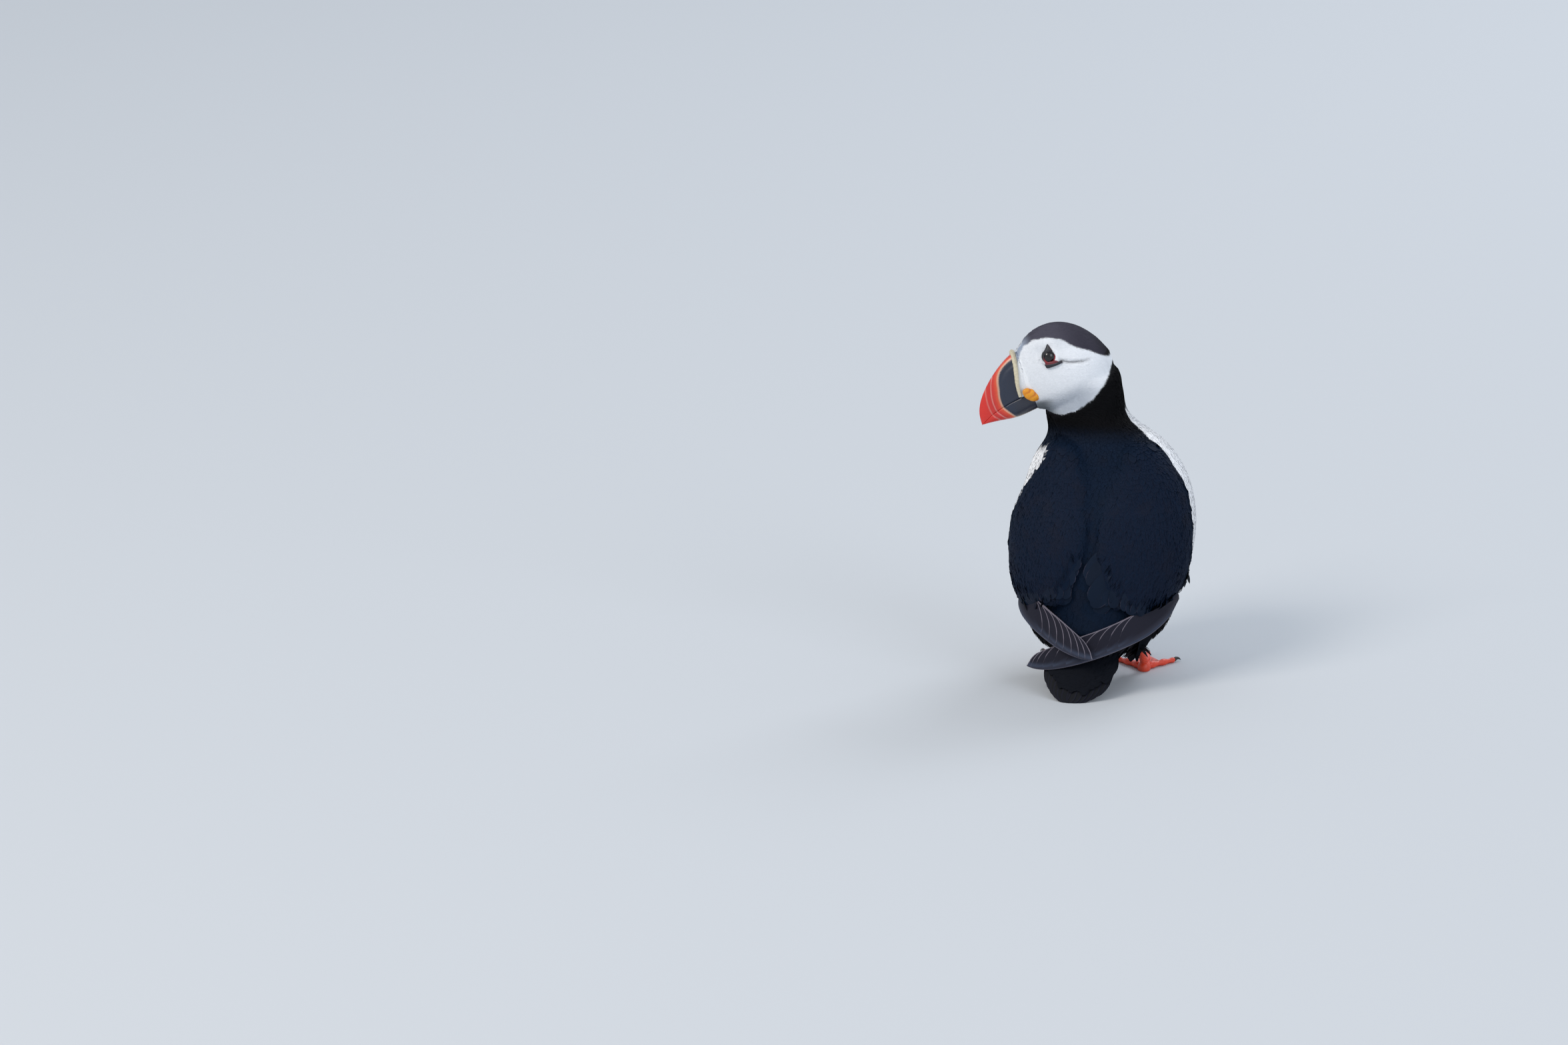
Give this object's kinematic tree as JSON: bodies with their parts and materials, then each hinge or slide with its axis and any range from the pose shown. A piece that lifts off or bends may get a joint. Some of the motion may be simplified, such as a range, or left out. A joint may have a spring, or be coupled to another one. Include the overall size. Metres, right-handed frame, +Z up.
{
  "type": "atlantic puffin",
  "caption": "Standing black-and-white seabird with a tall banded red bill, its head turned over its left shoulder and its wings folded over the rump.",
  "frame": {"origin": "bottom centre of the bounding box, on the floor the bird stands on", "axes": "+Z up, +Y the way the body faces, +X to the bird's right"},
  "size_m": [0.1326, 0.1342, 0.2135],
  "materials": {
    "black_plumage": "matt, blue-black contour feathers",
    "body_plumage": "matt contour feathers, black above and white below",
    "face_plumage": "short velvety feathers, pale grey-white face under a dark crown",
    "flight_feather": "satin flight feathers with pale shafts",
    "bill_horn": "satin horn in red, cream and slate-grey plates",
    "cere_horn": "pale cream-yellow ridge",
    "rosette_skin": "wrinkled orange-yellow skin",
    "eye": "wet, dark brown iris in a red ring",
    "eye_plate": "blue-grey horny plate",
    "leg_skin": "orange-red scaly skin",
    "claw": "black horn"
  },
  "bodies": {
    "root": {"head": "face_plumage", "bill_upper": "bill_horn", "bill_lower": "bill_horn", "bill_cere": "cere_horn", "neck": "body_plumage", "trunk": "body_plumage", "tail": "flight_feather", "rosette_right": "rosette_skin", "eye_right": "eye", "eye_plate_upper_right": "eye_plate", "eye_plate_lower_right": "eye_plate", "wing_right_coverts": "black_plumage", "wing_right_secondaries": "flight_feather", "wing_right_primaries": "flight_feather", "thigh_right": "body_plumage", "tarsus_right": "leg_skin", "foot_right": "leg_skin", "claw_right_inner": "claw", "claw_right_middle": "claw", "claw_right_outer": "claw", "rosette_left": "rosette_skin", "eye_left": "eye", "eye_plate_upper_left": "eye_plate", "eye_plate_lower_left": "eye_plate", "wing_left_coverts": "black_plumage", "wing_left_secondaries": "flight_feather", "wing_left_primaries": "flight_feather", "thigh_left": "body_plumage", "tarsus_left": "leg_skin", "foot_left": "leg_skin", "claw_left_inner": "claw", "claw_left_middle": "claw", "claw_left_outer": "claw"}
  },
  "joints": []
}
